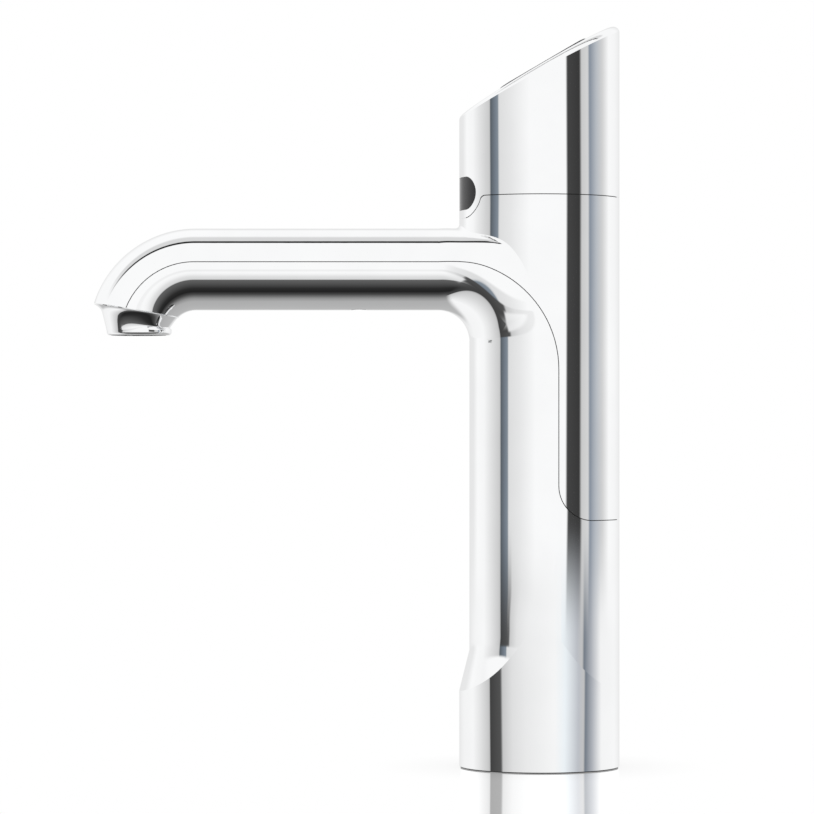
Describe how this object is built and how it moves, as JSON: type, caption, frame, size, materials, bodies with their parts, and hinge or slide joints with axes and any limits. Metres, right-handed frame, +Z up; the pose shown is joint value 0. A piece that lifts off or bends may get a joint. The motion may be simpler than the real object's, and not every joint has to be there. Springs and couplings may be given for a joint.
{
  "type": "boiling water tap",
  "caption": "Upright round chrome kitchen tap with a horizontal spout, a slanted head with sprung keys and a sensor window, and inner tubes for boiling, chilled and sparkling water.",
  "frame": {"origin": "on the column's axis, at the underside of the base, where it stands on the deck", "axes": "+Z up along the column, the spout points to -X, +Y across the tap; the outside is symmetric about the XZ plane"},
  "size_m": [0.1969, 0.06, 0.277],
  "materials": {
    "chrome_body": "mirror-polished chrome plate",
    "window_black": "gloss black, infrared-clear",
    "pad_black": "gloss black",
    "key_satin": "fine satin",
    "lens_clear": "translucent white",
    "board_green": "solder-mask lacquer",
    "plastic_black": "moulded, fine grain",
    "plastic_grey": "moulded, fine grain",
    "plastic_white": "moulded, fine grain",
    "rubber_black": "moulded rubber",
    "silicone_grey": "silicone",
    "steel": "zinc-plated steel",
    "brass": "machined brass",
    "copper": "drawn copper",
    "tube_blue": "extruded tube",
    "tube_white": "extruded tube"
  },
  "bodies": {
    "tap": {"main_body": "chrome_body", "spine_cover": "chrome_body", "head_cap": "chrome_body", "nozzle_collar": "chrome_body", "cover_seal": "rubber_black", "head_gasket": "rubber_black", "base_seal": "rubber_black", "nozzle_oring": "rubber_black", "head_carrier": "plastic_black", "head_screws": "steel", "head_grub_screw": "steel", "neck_frame": "steel", "frame_screws": "steel", "touch_plate": "pad_black", "switch_domes": "silicone_grey", "key_leds": "plastic_white", "touch_board": "board_green", "board_screws": "steel", "head_plug": "plastic_white", "sensor_window": "window_black", "sensor_board": "board_green", "sensor_screws": "steel", "sensor_eyes": "window_black", "control_cable": "plastic_grey", "cable_plug": "plastic_black", "boiling_tube": "copper", "chilled_tube": "tube_blue", "sparkling_tube": "tube_white", "boiling_inlet": "brass", "chilled_inlet": "plastic_grey", "sparkling_inlet": "plastic_grey", "connector_plate": "plastic_black", "tube_clips": "plastic_black", "spout_clip": "plastic_black", "spout_screw": "steel", "nozzle_insert": "plastic_black", "base_insert": "brass", "base_screws": "steel"},
    "key_boiling": {"key_boiling": "key_satin", "lens_boiling": "lens_clear"},
    "key_chilled": {"key_chilled": "key_satin", "lens_chilled": "lens_clear"},
    "key_sparkling": {"key_sparkling": "key_satin", "lens_sparkling": "lens_clear"},
    "key_safety": {"key_safety": "key_satin", "lens_safety": "lens_clear"}
  },
  "joints": [
    {"name": "boiling_press", "type": "slide", "parent": "tap", "child": "key_boiling", "axis": [0.506, 0, -0.8625], "range_m": [0, 0.0005], "stiffness_N_per_m": 200, "springref_m": -0.001},
    {"name": "chilled_press", "type": "slide", "parent": "tap", "child": "key_chilled", "axis": [0.506, 0, -0.8625], "range_m": [0, 0.0005], "stiffness_N_per_m": 200, "springref_m": -0.001},
    {"name": "sparkling_press", "type": "slide", "parent": "tap", "child": "key_sparkling", "axis": [0.506, 0, -0.8625], "range_m": [0, 0.0005], "stiffness_N_per_m": 200, "springref_m": -0.001},
    {"name": "safety_press", "type": "slide", "parent": "tap", "child": "key_safety", "axis": [0.506, 0, -0.8625], "range_m": [0, 0.0005], "stiffness_N_per_m": 200, "springref_m": -0.001}
  ]
}
